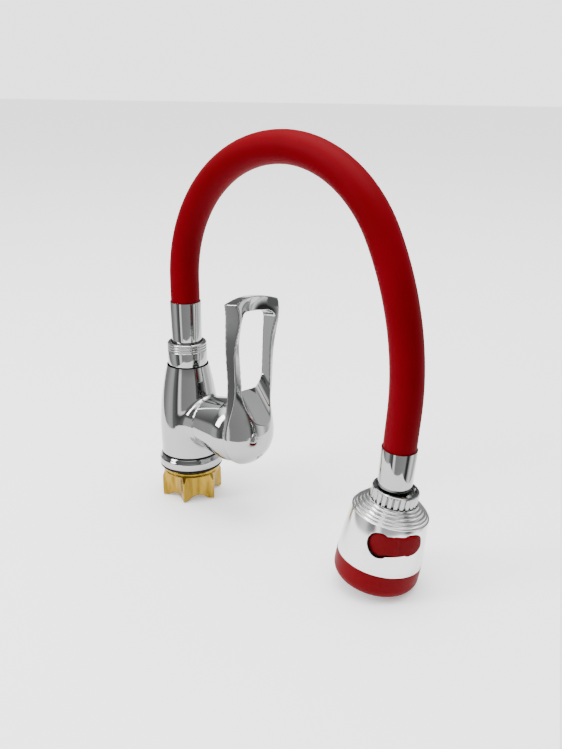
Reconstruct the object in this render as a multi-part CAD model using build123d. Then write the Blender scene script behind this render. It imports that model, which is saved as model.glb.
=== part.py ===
from build123d import *
import os
from math import acos, atan2, cos, degrees, hypot, pi, radians, sin, sqrt

# Kitchen mixer tap with a flexible spout, a side lever and a spray head.
# Millimetres. Z is up, the origin is the centre of the base at deck level,
# and X points from the body along the side branch to the lever.

# Running and assembly clearances
fit_gap = 0.05
free_gap = 0.3

# Base: gasket, ring, shank, washer and star nut
gasket_t = 2.0
ring_r = 25.1
ring_h = 8.5
ring_seat_r = 20.0
base_seal_t = 1.6
shank_r = 16.5
shank_bore_r = 14.0
shank_top = 16.0
shank_bottom = -22.0
washer_t = 1.6
star_nut_bottom = -26.0
star_tip_r = 24.4
star_valley_r = 17.8
scallop_r = 20.0
star_points = 6
star_turn = 28.0
star_foot_r = 21.0
star_foot_h = 3.7
star_flange_r = 21.6
star_flange_t = 4.0

# Body column
column_foot_r = 23.2
column_foot_top = 26.0
column_mid_r = 20.1
column_mid_z = 66.0
column_top_r = 16.2
column_top = 84.0
neck_r = 13.2
neck_top = 93.0
tail_bore_r = 9.5
tail_bore_bottom = 66.0

# Water inlets under the body
inlet_spacing = 15.0
inlet_r = 5.0
inlet_depth = 12.0
channel_r = 3.2

# Side branch and cartridge
branch_height = 40.5
branch_root_r = 20.5
branch_seam = 23.2
chamber_r = 17.2
chamber_floor = 14.0
branch_neck_r = 19.2
branch_neck_end = 46.0
pivot_x = 48.0
bonnet_ball_r = 24.6
bonnet_wall = 1.5
bonnet_hole_r = 14.5
cartridge_r = 17.0
cartridge_top = 39.0
cartridge_neck_r = 12.4
cartridge_neck_end = 51.5
guide_neck_r = 10.8
disc_r = 15.4
moving_disc_r = 10.8
nut_bore_r = 17.9
nut_end = 47.0
stem_rest_tilt = 10.0
stem_square = 7.0
stem_end = 71.5
stem_tail = 19.6
pin_r = 1.5

# Lever handle
handle_turn = 4.7
handle_lean = 4.1
handle_rim_x = 57.5
handle_rim_r = 25.2
handle_depth = 21.0
handle_gap = 0.5
cap_edge = 3.0
boss_r = 7.5
grub_r = 2.5
grub_key_r = 1.25
grub_x = 69.0
arm_back_x = 60.7
arm_depth = 8.3
arm_width = 5.2
arm_bevel = 1.3
arm_flare = 1.4
waist_width = 43.0
waist_height = 34.0
shoulder_width = 50.0
shoulder_height = 99.5
crown_rise = 4.5
crown_depth = 7.0
window_sill = 33.0
window_corner = 7.5
scoop_slope = 55.0
scoop_round = 9.0
scoop_length = 34.0

# Spout: tail, collar, ferrules and hose
spout_turn = -3.7
tail_bore = 6.0
tail_bottom = 66.8
tail_top = 112.0
tail_flange_r = 12.8
tail_flange_t = 2.0
oring_heights = [71.0, 79.0]
oring_h = 2.0
oring_floor_r = 7.8
slip_ring_t = 1.5
collar_r = 15.2
collar_gap = 0.4
collar_top = 102.3
collar_ridge = 0.35
ferrule_r = 11.8
ferrule_foot_r = 11.5
ferrule_gap = 0.4
hose_start = 134.0
hose_r = 11.0
hose_bore_r = 8.2
core_r = 8.1
core_bore_r = 5.0
hose_in_ferrule = 8.0
core_in_ferrule = 16.0
hose_first_run = 16.5
hose_bends = [(102.0, 89.0), (87.5, 64.0), (204.0, 32.0)]
hose_last_run = 23.0

# Outlet ferrule and ball
outlet_length = 30.0
ball_r = 10.0
ball_below_ferrule = 11.0
ball_neck_r = 6.3
ball_bore_r = 4.2

# Spray head, measured down from the rim of its knurled union
head_tilt_in = 3.7
head_tilt_across = -5.2
ball_depth = 12.0
union_r = 15.8
union_mouth_r = 13.7
union_h = 9.5
flute_count = 24
shoulder_s = 17.3
shoulder_steps = [(0.09, 8.5), (0.29, 10.0), (0.49, 11.5), (0.7, 13.5), (0.85, 15.0), (1.0, 17.0)]
shell_bottom_s = 51.0
shell_bottom_r = 28.9
shell_flare = 2.9
shell_wall = 1.6
skirt_t = 2.3
cup_end_s = 69.5
cup_round = 8.5
cup_wall = 5.3
cup_lip = 1.6
cup_gap = 0.2
spigot_top_s = 44.0
window_turn = -43.0
window_s = 27.5
window_half = 11.2
window_end_r = 7.3
window_waist = 6.1
rocker_proud = 0.62
rocker_t = 3.5
rocker_arm = 4.8
rocker_tilt = 5.0
rocker_pin_r = 0.9
core_inset = 5.5
core_foot_h = 4.0
core_top_s = 17.0
spool_r = 3.5
spool_inset = 9.0
spool_end_gap = 1.2
plug_length = 1.77
fork_root_r = 2.0
fork_groove = 3.8
side_groove = 3.2
side_groove_at = 6.6
fork_t = 2.6
nozzle_ring_r = 15.5
nozzle_count = 8
nozzle_r = 1.0
aerator_r = 8.0

os.makedirs("parts", exist_ok=True)
nodes = {}


def keep(name, shape):
    nodes[name] = shape


def disc(radius, low, high):
    return Pos(0, 0, low) * Cylinder(radius, high - low, align=(Align.CENTER, Align.CENTER, Align.MIN))


def ring(outer, inner, low, high):
    return disc(outer, low, high) - disc(inner, low - 1, high + 1)


def turned(points):
    """Revolve a closed outline of (radius, height) points about Z."""
    outline = Polyline(*[(r, 0, z) for r, z in points], close=True)
    return revolve(make_face(outline), Axis.Z)


def along_x(shape):
    """Lay a shape that was made along Z down along X."""
    return Rot(0, 90, 0) * shape


def hole_x(radius, start, end, across=0.0, up=0.0):
    return Pos(0, across, up) * along_x(disc(radius, start, end))


def on_branch(shape):
    return Pos(0, 0, branch_height) * shape


def with_handle_turn(shape):
    return on_branch(Rot(-handle_turn, 0, 0) * shape)


# Heights of the stacked base pieces
ring_bottom = gasket_t
ring_top = ring_bottom + ring_h
column_foot = ring_top + base_seal_t
washer_bottom = -washer_t

# Base ring, seals, shank, washer and star nut
ring_outline = [
    (ring_seat_r, ring_bottom),
    (ring_r, ring_bottom),
    (ring_r, ring_bottom + 5.2),
    (ring_r - 0.7, ring_bottom + 6.2),
    (column_foot_r + 0.2, ring_top),
    (ring_seat_r, ring_top),
]
keep("base_ring", turned(ring_outline))
keep("deck_gasket", ring(ring_r - 0.8, shank_r + free_gap, 0, gasket_t))
keep("base_seal", ring(column_foot_r - 0.6, ring_seat_r + 0.8, ring_top, column_foot))

shank = ring(shank_r, shank_bore_r, shank_bottom, shank_top)
keep("threaded_shank", chamfer(shank.edges().filter_by(GeomType.CIRCLE).group_by(Axis.Z)[0], 0.8))
keep("clamp_washer", ring(star_flange_r - 0.4, shank_r + free_gap, washer_bottom, 0))

star_top = washer_bottom
star_angle = 360.0 / star_points
star_body = turned(
    [
        (0, star_nut_bottom),
        (star_tip_r, star_nut_bottom),
        (star_tip_r, star_top - 2 * star_flange_t),
        (star_flange_r, star_top - 0.5 * star_flange_t),
        (0, star_top - 0.5 * star_flange_t),
    ]
)
scallop_at = star_valley_r + scallop_r
scallop = Pos(scallop_at, 0, 0) * disc(scallop_r, star_nut_bottom - 1, star_top - star_flange_t)
scallops = [Rot(0, 0, star_angle * i) * scallop for i in range(star_points)]
star_flange = disc(star_flange_r, star_top - star_flange_t, star_top)
star_flange = fillet(star_flange.edges().group_by(Axis.Z)[-1], 1.2)
star_nut = star_body - scallops + star_flange
star_nut -= disc(shank_r + fit_gap, star_nut_bottom - 1, star_top + 1)
star_hollow = Cone(star_foot_r, shank_r, star_foot_h, align=(Align.CENTER, Align.CENTER, Align.MIN))
star_nut -= Pos(0, 0, star_nut_bottom) * star_hollow
keep("star_nut", Rot(0, 0, star_turn) * star_nut)

# Body: a tapered column with a side branch, cast and bored in one piece
column_side = ThreePointArc(
    (column_foot_r, 0, column_foot_top),
    (column_mid_r, 0, column_mid_z),
    (column_top_r, 0, column_top),
)
column_outline = Polyline(
    (column_top_r, 0, column_top),
    (neck_r, 0, column_top),
    (neck_r, 0, neck_top),
    (0, 0, neck_top),
    (0, 0, ring_bottom),
    (ring_seat_r - fit_gap, 0, ring_bottom),
    (ring_seat_r - fit_gap, 0, column_foot),
    (column_foot_r - 0.3, 0, column_foot),
    (column_foot_r, 0, column_foot_top),
)
column = revolve(make_face(Wire([*column_side.edges(), *column_outline.edges()])), Axis.Z)
branch = on_branch(hole_x(branch_root_r, 0, branch_seam))
branch += on_branch(hole_x(branch_neck_r, branch_seam - 1, branch_neck_end))
body = column + branch
body -= on_branch(hole_x(chamber_r, chamber_floor, branch_neck_end + 1))
body -= on_branch(hole_x(nut_bore_r, cartridge_top, branch_neck_end + 1))
body -= disc(shank_r + fit_gap, ring_bottom - 1, shank_top)
body -= disc(tail_bore_r, tail_bore_bottom, neck_top + 1)

# Water ways: two inlets up to the cartridge, and its outlet up to the spout
inlet_top = branch_height - 4.5
outlet_rise = 7.5
for side in (-1, 1):
    inlet = Pos(0, side * inlet_spacing / 2, 0)
    body -= inlet * disc(inlet_r, shank_top - 1, shank_top + inlet_depth)
    body -= inlet * disc(channel_r, shank_top, inlet_top)
    body -= Pos(0, side * inlet_spacing / 2, inlet_top) * Sphere(channel_r)
    body -= on_branch(hole_x(channel_r, 0, chamber_floor + 1, side * inlet_spacing / 2, -4.5))
body -= on_branch(hole_x(channel_r, 0, chamber_floor + 1, 0, outlet_rise))
body -= disc(channel_r, branch_height + outlet_rise, tail_bore_bottom + 1)
keep("body_casting", body)

# Cartridge: fixed parts in the chamber
seal_t = 0.6
base_low = chamber_floor + seal_t
base_high = base_low + 4.4
fixed_high = base_high + 3.0
moving_high = fixed_high + 4.0
carrier_high = moving_high + 4.0
ports = [(-inlet_spacing / 2, -4.5), (inlet_spacing / 2, -4.5), (0.0, outlet_rise)]

port_r = 2.6
base_disc = along_x(disc(cartridge_r, base_low, base_high))
fixed_disc = along_x(disc(disc_r, base_high, fixed_high))
seals = []
for across, up in ports:
    base_disc -= hole_x(port_r, base_low - 1, base_high + 1, across, up)
    fixed_disc -= hole_x(port_r, base_high - 1, fixed_high + 1, across, up)
    seals.append(Pos(0, across, up) * along_x(ring(port_r + 1.2, port_r, chamber_floor, base_low)))
keep("cartridge_base", on_branch(base_disc))
keep("fixed_ceramic_disc", on_branch(fixed_disc))
keep("cartridge_seals", Compound([on_branch(s) for s in seals]))

housing_bore = disc_r + 0.5
housing = ring(cartridge_r, housing_bore, base_high, cartridge_top - 2.0)
housing += ring(cartridge_r, guide_neck_r + 0.1, cartridge_top - 2.0, cartridge_top)
housing += ring(cartridge_neck_r, guide_neck_r + 0.1, cartridge_top - 1.0, cartridge_neck_end)
keep("cartridge_housing", on_branch(along_x(housing)))

nut = ring(nut_bore_r - fit_gap, cartridge_neck_r + free_gap, cartridge_top, nut_end)
nut_key = Pos(nut_bore_r, 0, nut_end - 1.0) * Box(4.0, 4.0, 2.4)
nut -= [Rot(0, 0, 60 * i) * nut_key for i in range(6)]
keep("cartridge_nut", on_branch(along_x(nut)))

# Bonnet: chrome sleeve that grows from the seam into a ball round the lever's pivot
bonnet_end_angle = 40.0
ball_meets = 100.0
bonnet_front_x = pivot_x + bonnet_ball_r * cos(radians(bonnet_end_angle))
bonnet_outer = ThreePointArc(
    (bonnet_ball_r * sin(radians(ball_meets)), 0, pivot_x + bonnet_ball_r * cos(radians(ball_meets))),
    (bonnet_ball_r * sin(radians(70)), 0, pivot_x + bonnet_ball_r * cos(radians(70))),
    (bonnet_ball_r * sin(radians(bonnet_end_angle)), 0, bonnet_front_x),
)
bonnet_inner_r = bonnet_ball_r - bonnet_wall
bonnet_inner_end = pivot_x + sqrt(bonnet_inner_r**2 - bonnet_hole_r**2)
bonnet_inner = ThreePointArc(
    (bonnet_hole_r, 0, bonnet_inner_end),
    (bonnet_inner_r * sin(radians(60)), 0, pivot_x + bonnet_inner_r * cos(radians(60))),
    (bonnet_inner_r, 0, pivot_x),
)
bonnet_rest = Polyline(
    (bonnet_inner_r, 0, pivot_x),
    (branch_neck_r + fit_gap, 0, branch_neck_end),
    (branch_neck_r + fit_gap, 0, branch_seam),
    (branch_root_r, 0, branch_seam),
    (bonnet_ball_r * sin(radians(ball_meets)), 0, pivot_x + bonnet_ball_r * cos(radians(ball_meets))),
)
bonnet_lip = Polyline(
    (bonnet_ball_r * sin(radians(bonnet_end_angle)), 0, bonnet_front_x),
    (bonnet_hole_r, 0, bonnet_front_x),
    (bonnet_hole_r, 0, bonnet_inner_end),
)
bonnet_wire = Wire([*bonnet_outer.edges(), *bonnet_lip.edges(), *bonnet_inner.edges(), *bonnet_rest.edges()])
keep("cartridge_bonnet", on_branch(along_x(revolve(make_face(bonnet_wire), Axis.Z))))

# Cartridge: moving parts, turned with the lever's rest position
tail_shift = -stem_tail * sin(radians(stem_rest_tilt))
moving_disc = along_x(disc(moving_disc_r, fixed_high, moving_high))
moving_disc -= Pos(fixed_high, 0, 1.5) * Box(4.4, 11.0, 9.0)
carrier = along_x(disc(moving_disc_r + 0.4, moving_high, carrier_high))
carrier -= Pos(carrier_high, 0, 0) * Box(6.0, 5.6, 5.8)
keep("moving_ceramic_disc", with_handle_turn(Pos(0, 0, tail_shift) * moving_disc))
keep("disc_carrier", with_handle_turn(Pos(0, 0, tail_shift) * carrier))

guide_low = carrier_high
guide = disc(disc_r + 0.2, guide_low, cartridge_top - 2.0 - fit_gap)
guide += disc(guide_neck_r, cartridge_top - 3.0, cartridge_neck_end + 1.0)
guide = along_x(guide)
guide -= Pos(guide_low, 0, 0) * Box(40.0, 5.4, 15.0)
guide -= Pos(cartridge_neck_end, 0, 0) * Box(9.0, 8.6, 15.0)
guide -= Pos(pivot_x, 0, 0) * Rot(90, 0, 0) * Cylinder(pin_r + 0.02, 40)
keep("stem_guide", with_handle_turn(guide))
lever_pin = Pos(pivot_x, 0, 0) * Rot(90, 0, 0) * Cylinder(pin_r, 2 * guide_neck_r - 1.4)
keep("lever_pin", with_handle_turn(lever_pin))


def with_stem(shape):
    """Tilt a shape about the lever pin to the stem's rest angle."""
    return Pos(pivot_x, 0, 0) * Rot(0, -stem_rest_tilt, 0) * Pos(-pivot_x, 0, 0) * shape


stem = Pos(pivot_x - (stem_tail - 2.0) / 2, 0, 0) * Box(stem_tail - 2.0, 4.8, 5.2)
stem += Pos(pivot_x - stem_tail + 2.4, 0, 0) * Rot(90, 0, 0) * Cylinder(2.6, 4.8)
stem += Pos(pivot_x, 0, 0) * Rot(90, 0, 0) * Cylinder(4.2, 4.8)
stem += Pos((pivot_x + stem_end) / 2 + 2.2, 0, 0) * Box(stem_end - pivot_x - 4.4, stem_square, stem_square)
stem += Pos(pivot_x + 3.0, 0, 0) * Box(6.0, 4.8, stem_square)
stem -= Pos(pivot_x, 0, 0) * Rot(90, 0, 0) * Cylinder(pin_r + fit_gap, 40)
keep("stem_lever", with_handle_turn(with_stem(stem)))

# Handle: a domed cap that carries two tall arms joined by an arched bar.
# It is modelled upright with its foot centred on the branch axis, then leaned.
arm_front_x = arm_back_x + arm_depth
cap_front_x = handle_rim_x + handle_depth
cap_side_x = handle_rim_x + cap_edge
waist_half = waist_width / 2
top_half = shoulder_width / 2
crown_top = shoulder_height + crown_rise


def handle_section(height, half_width, back, side, front, flare):
    """Level section: flat back, straight sides and a crowned front."""
    half_back = half_width + flare
    outline = Polyline(
        (side, half_width, height),
        (back, half_back, height),
        (back, -half_back, height),
        (side, -half_width, height),
    )
    crown = ThreePointArc((side, -half_width, height), (front, 0, height), (side, half_width, height))
    return make_face(Wire([*outline.edges(), *crown.edges()]))


rim_taper = handle_rim_r - waist_half
grip = loft(
    [
        handle_section(0, handle_rim_r, handle_rim_x, cap_side_x, cap_front_x, 0),
        handle_section(10, handle_rim_r - 0.22 * rim_taper, handle_rim_x + 0.4, cap_side_x + 1.0, cap_front_x - 0.8, 0.2),
        handle_section(22, waist_half + 0.27 * rim_taper, arm_back_x - 1.4, arm_front_x - 4.0, cap_front_x - 3.6, 0.8),
        handle_section(waist_height + 6, waist_half, arm_back_x, arm_front_x - 1.2, arm_front_x + 3.2, arm_flare),
        handle_section(0.65 * shoulder_height, waist_half + 1.2, arm_back_x, arm_front_x, arm_front_x + 1.0, arm_flare),
        handle_section(crown_top + 1, top_half, arm_back_x, arm_front_x, arm_front_x + 0.8, arm_flare),
    ]
)

# Lower half of the round cap: the foot section turned about the branch axis
crown_bulge = cap_front_x - cap_side_x
crown_r = (handle_rim_r**2 + crown_bulge**2) / (2 * crown_bulge)
crown_centre_x = cap_front_x - crown_r
crown_mid = 0.5 * acos((cap_side_x - crown_centre_x) / crown_r)
cap_arc = ThreePointArc(
    (cap_front_x, 0, 0),
    (crown_centre_x + crown_r * cos(crown_mid), -crown_r * sin(crown_mid), 0),
    (cap_side_x, -handle_rim_r, 0),
)
cap_rest = Polyline(
    (cap_side_x, -handle_rim_r, 0),
    (handle_rim_x, -handle_rim_r, 0),
    (handle_rim_x, 0, 0),
    (cap_front_x, 0, 0),
)
handle = grip + revolve(make_face(Wire([*cap_arc.edges(), *cap_rest.edges()])), Axis.X, 180)

# Arched crown across the top of the arms
front_view = Plane(origin=(arm_back_x - 20, 0, 0), x_dir=(0, 1, 0), z_dir=(1, 0, 0))
crown_half = top_half + arm_flare
crown_edge = ThreePointArc((-crown_half, shoulder_height), (0, crown_top), (crown_half, shoulder_height))
crown_rest = Polyline(
    (crown_half, shoulder_height),
    (crown_half + 9, shoulder_height - 4),
    (crown_half + 9, crown_top + 9),
    (-crown_half - 9, crown_top + 9),
    (-crown_half - 9, shoulder_height - 4),
    (-crown_half, shoulder_height),
)
crown_face = make_face(Wire([*crown_edge.edges(), *crown_rest.edges()]))
handle -= front_view * extrude(crown_face, 60)

# Window between the arms
low_half = waist_half - arm_width
high_half = top_half - arm_width
window_low = window_sill + scoop_round
window_top = shoulder_height - crown_depth
window_outline = Polyline(
    (-low_half, window_low),
    (low_half, window_low),
    (high_half, window_top),
    (-high_half, window_top),
    close=True,
)
window_face = make_face(window_outline)
window_face = fillet(window_face.vertices().group_by(Axis.Y)[-1], window_corner)
handle -= front_view * extrude(window_face, 60)
# Scooped sill that slopes forward and down from the window into the cap
scoop_plane = Plane(
    origin=(arm_back_x, 0, window_sill),
    x_dir=(0, 1, 0),
    z_dir=(cos(radians(scoop_slope)), 0, -sin(radians(scoop_slope))),
)
scoop = Pos(0, scoop_length / 2) * RectangleRounded(2 * low_half, scoop_length, scoop_round)
handle -= scoop_plane * extrude(scoop, 40, both=True)

# Socket and boss inside the cap, leaned with the handle about the lever pin
boss_start = pivot_x + 7.0
handle += hole_x(boss_r, boss_start + 3.0, cap_front_x - 3.0)
with_lean = Pos(pivot_x, 0, 0) * Rot(0, -handle_lean, 0) * Pos(-pivot_x, 0, 0)
handle = with_lean * handle
cavity = Pos(pivot_x, 0, 0) * Sphere(bonnet_ball_r + handle_gap)
boss = with_stem(hole_x(boss_r, boss_start, stem_end + 3.0))
handle = handle - cavity + boss
socket_size = stem_square + 2 * fit_gap
socket_end = stem_end + fit_gap
socket_mid = (boss_start - 1 + socket_end) / 2
handle -= with_stem(Pos(socket_mid, 0, 0) * Box(socket_end - boss_start + 1, socket_size, socket_size))
screw_hole = Pos(grub_x, 0, 0) * Pos(0, 0, -handle_rim_r) * Cylinder(grub_r + fit_gap, 2 * (handle_rim_r - stem_square / 2))
handle -= with_stem(screw_hole)
keep("handle", with_handle_turn(handle))
grub = disc(grub_r, -boss_r - 1.0, -stem_square / 2) - disc(grub_key_r, -boss_r - 2.0, -boss_r + 1.0)
keep("handle_grub_screw", with_handle_turn(with_stem(Pos(grub_x, 0, 0) * grub)))

# Spout tail: a brass tube that swivels in the neck on two O-rings
tail_r = tail_bore_r - fit_gap
flange_top = neck_top + tail_flange_t
tail_outline = [
    (tail_bore, tail_bottom),
    (tail_r, tail_bottom),
    (tail_r, oring_heights[0]),
    (oring_floor_r, oring_heights[0]),
    (oring_floor_r, oring_heights[0] + oring_h),
    (tail_r, oring_heights[0] + oring_h),
    (tail_r, oring_heights[1]),
    (oring_floor_r, oring_heights[1]),
    (oring_floor_r, oring_heights[1] + oring_h),
    (tail_r, oring_heights[1] + oring_h),
    (tail_r, neck_top),
    (tail_flange_r, neck_top),
    (tail_flange_r, flange_top),
    (tail_r - fit_gap, flange_top),
    (tail_r - fit_gap, tail_top),
    (tail_bore, tail_top),
]
keep("swivel_tail", turned(tail_outline))
orings = [ring(tail_bore_r - 0.02, oring_floor_r, low, low + oring_h) for low in oring_heights]
keep("tail_orings", Compound(orings))
slip_top = flange_top + slip_ring_t
collar_bore_r = neck_r + fit_gap
keep("slip_ring", ring(collar_bore_r - free_gap, ferrule_r + fit_gap, flange_top, slip_top))


# Chrome collar that screws on the neck and holds the tail's flange down
collar_bottom = column_top + collar_gap
collar_lip = slip_top + 0.1
lip_hole_r = ferrule_r + ferrule_gap
ridge_pitch = 2.0
collar_outline = [
    (collar_bore_r, collar_bottom),
    (collar_r, collar_bottom),
    (collar_r, collar_top - 3 * ridge_pitch - 0.6),
]
for i in (3, 2, 1):
    ridge_low = collar_top - i * ridge_pitch
    collar_outline.append((collar_r - collar_ridge, ridge_low - 0.3))
    collar_outline.append((collar_r - collar_ridge, ridge_low))
    collar_outline.append((collar_r, ridge_low + 0.3))
    collar_outline.append((collar_r, ridge_low + ridge_pitch - 0.7))
collar_outline += [
    (collar_r - 0.8, collar_top),
    (lip_hole_r, collar_top),
    (lip_hole_r, collar_lip),
    (collar_bore_r, collar_lip),
]
keep("spout_collar", turned(collar_outline))

# Inlet ferrule: rises from the tail and cups the end of the hose
cup_floor = hose_start - hose_in_ferrule
core_floor = hose_start - core_in_ferrule
inlet_outline = [
    (tail_r, flange_top),
    (ferrule_foot_r, flange_top),
    (ferrule_r, hose_start),
    (hose_r + fit_gap, hose_start),
    (hose_r + fit_gap, cup_floor),
    (core_r + fit_gap, cup_floor),
    (core_r + fit_gap, core_floor),
    (core_bore_r, core_floor),
    (core_bore_r, tail_top),
    (tail_r, tail_top),
]
keep("inlet_ferrule", turned(inlet_outline))


def on_spout(shape):
    """Turn a shape from the XZ plane to the direction of the spout."""
    return Rot(0, 0, spout_turn) * shape


def hose_path(into_inlet, into_outlet):
    """Centre line in the XZ plane: a straight run, three bends, a straight run."""
    runs = [Line((0, hose_start - into_inlet), (0, hose_start + hose_first_run))]
    for bend_r, bend_angle in hose_bends:
        runs.append(JernArc(runs[-1] @ 1, runs[-1] % 1, bend_r, -bend_angle))
    heading = runs[-1] % 1
    runs.append(Line(runs[-1] @ 1, runs[-1] @ 1 + heading * (hose_last_run + into_outlet)))
    return Plane.XZ * Wire([run.edge() for run in runs])


def tube(path, outer, inner):
    mouth = Plane(origin=path @ 0, z_dir=path % 0)
    return sweep(mouth * (Circle(outer) - Circle(inner)), path=path)


# Hose: a soft red sleeve over a flexible core that holds its bend
sleeve_path = hose_path(hose_in_ferrule, hose_in_ferrule)
core_path = hose_path(core_in_ferrule, core_in_ferrule)
sleeve = tube(sleeve_path, hose_r, hose_bore_r)
core = tube(core_path, core_r, core_bore_r)
keep("spout_sleeve", on_spout(sleeve))
keep("flex_core", on_spout(core))
sleeve_volume = pi * (hose_r**2 - hose_bore_r**2) * sleeve_path.length
core_volume = pi * (core_r**2 - core_bore_r**2) * core_path.length
print("sleeve length", round(sleeve_path.length, 1), "volume ratio", round(sleeve.volume / sleeve_volume, 5))
print("core length", round(core_path.length, 1), "volume ratio", round(core.volume / core_volume, 5))
print("bend radii", [bend_r for bend_r, bend_angle in hose_bends], "hose radius", hose_r)

# Outlet ferrule and ball nipple, made along Z with the end of the hose at z = 0
visible_path = hose_path(0, 0)
hose_end = visible_path @ 1
outlet_lean = sum(bend_angle for bend_r, bend_angle in hose_bends) - 180.0


def at_outlet(shape):
    return on_spout(Pos(hose_end) * Rot(0, outlet_lean, 0) * shape)


nipple_top = -core_in_ferrule - 4.0
outlet_outline = [
    (ferrule_r, 0),
    (ferrule_foot_r, -outlet_length),
    (ball_neck_r + fit_gap, -outlet_length),
    (ball_neck_r + fit_gap, nipple_top),
    (core_bore_r, nipple_top),
    (core_bore_r, -core_in_ferrule),
    (core_r + fit_gap, -core_in_ferrule),
    (core_r + fit_gap, -hose_in_ferrule),
    (hose_r + fit_gap, -hose_in_ferrule),
    (hose_r + fit_gap, 0),
]
keep("outlet_ferrule", at_outlet(turned(outlet_outline)))
ball_drop = outlet_length + ball_below_ferrule
nipple = disc(ball_neck_r, -ball_drop, nipple_top) + Pos(0, 0, -ball_drop) * Sphere(ball_r)
nipple -= disc(ball_bore_r, -ball_drop - ball_r - 1, nipple_top + 1)
keep("ball_nipple", at_outlet(nipple))

# Spray head, made along Z with the ball's centre at the origin.
# Distances named "s" run down from the rim of the union.
ball_place = Pos(hose_end) * Rot(0, outlet_lean, 0) * Pos(0, 0, -ball_drop)
head_place = Pos(ball_place.position) * Rot(0, outlet_lean + head_tilt_in, 0) * Rot(head_tilt_across, 0, 0)
head_tilt = Vector(0, 0, 1).get_angle((head_place * Rot(0, 0, 0)).z_axis.direction)
cup_r = shell_bottom_r


def in_head(shape):
    return on_spout(head_place * shape)


def turned_down(points):
    """Revolve (radius, s) points, s being measured down from the union's rim."""
    return turned([(r, ball_depth - s) for r, s in points])


def ring_down(outer, inner, start_s, end_s):
    return ring(outer, inner, ball_depth - end_s, ball_depth - start_s)


# Union nut with its ball seat and seal
lip_top_s = 4.5
lip_end_s = 6.0
lip_r = 10.6
thread_r = 13.55
union_end_s = 16.6
seal_pocket_r = 11.5
union_outline = [
    (union_mouth_r, 0),
    (union_r - 0.6, 0),
    (union_r, 0.8),
    (union_r, union_end_s),
    (thread_r + fit_gap, union_end_s),
    (thread_r + fit_gap, lip_end_s),
    (lip_r, lip_end_s),
    (lip_r, lip_top_s),
    (union_mouth_r, lip_top_s),
]
union = turned_down(union_outline)
flute = Pos(union_r + 0.3, 0, ball_depth - union_h / 2 - 0.6) * Box(1.6, 1.5, union_h - 3.0)
union -= [Rot(0, 0, 360 / flute_count * i) * flute for i in range(flute_count)]
keep("union_nut", in_head(union))
seat_ball = Sphere(ball_r + fit_gap)
keep("ball_seat", in_head(ring_down(thread_r, ball_neck_r, lip_end_s, ball_depth) - seat_ball - disc(8.2, 0, 8)))
seal_end_s = core_top_s + 1.0
keep("ball_seal", in_head(ring_down(seal_pocket_r - fit_gap, ball_bore_r, ball_depth, seal_end_s) - seat_ball))

# Head shell: stepped shoulder, slightly flared skirt, window for the rocker
shell_neck_r = union_r + free_gap
shoulder_r = shell_bottom_r - shell_flare
core_body_r = shoulder_r - core_inset
spigot_r = shell_bottom_r - skirt_t
landing_r = core_body_r + 0.1
shell_inner_r = shoulder_r - shell_wall
shell_outline = [(shell_neck_r, shoulder_steps[0][1])]
for i, (step_share, step_s) in enumerate(shoulder_steps[:-1]):
    step_r = shell_neck_r + step_share * (shoulder_r - shell_neck_r)
    next_s = shoulder_steps[i + 1][1]
    shell_outline.append((step_r - 0.3, step_s))
    shell_outline.append((step_r, step_s + 0.3))
    shell_outline.append((step_r, next_s - 0.1))
shell_outline += [
    (shoulder_r - 0.4, shoulder_s - 0.3),
    (shoulder_r, shoulder_s + 0.4),
    (shell_bottom_r, shell_bottom_s),
    (spigot_r + fit_gap, shell_bottom_s),
    (spigot_r + fit_gap, spigot_top_s),
    (shell_inner_r, shoulder_s + 2.0),
    (landing_r, core_top_s),
    (shell_neck_r, core_top_s),
]
shell = turned_down(shell_outline)
window_place = Rot(0, 0, window_turn) * Pos(0, 0, ball_depth - window_s)


def bow_tie(end_r, end_at, waist):
    """Rocker outline: two round ends joined by a narrower waist, facing +X."""
    face = Pos(-end_at, 0) * Circle(end_r) + Pos(end_at, 0) * Circle(end_r) + Rectangle(2 * end_at, 2 * waist)
    return Plane.YZ * face


window = extrude(bow_tie(window_end_r, window_half, window_waist), shell_bottom_r + 1, dir=(1, 0, 0))
shell -= window_place * window
keep("head_shell", in_head(shell))

# Spray cup: red ring that screws into the shell and carries the nozzles
cup_inner_r = cup_r - cup_wall
cup_mouth_r = cup_r - cup_round - 0.3
core_foot_r = cup_inner_r - cup_gap
plate_low_s = cup_end_s - cup_lip
round_centre = cup_end_s - cup_round
cup_bend = ThreePointArc(
    (cup_r, 0, ball_depth - round_centre),
    (cup_r - cup_round * (1 - cos(radians(45))), 0, ball_depth - round_centre - cup_round * sin(radians(45))),
    (cup_r - cup_round, 0, ball_depth - cup_end_s),
)
cup_rest = Polyline(
    (cup_r - cup_round, 0, ball_depth - cup_end_s),
    (cup_mouth_r, 0, ball_depth - cup_end_s),
    (cup_mouth_r, 0, ball_depth - plate_low_s),
    (cup_inner_r, 0, ball_depth - plate_low_s),
    (cup_inner_r, 0, ball_depth - spigot_top_s),
    (spigot_r, 0, ball_depth - spigot_top_s),
    (spigot_r, 0, ball_depth - shell_bottom_s),
    (cup_r, 0, ball_depth - shell_bottom_s),
    (cup_r, 0, ball_depth - round_centre),
)
cup = revolve(make_face(Wire([*cup_bend.edges(), *cup_rest.edges()])), Axis.Z)
keep("spray_cup", in_head(cup))

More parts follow.
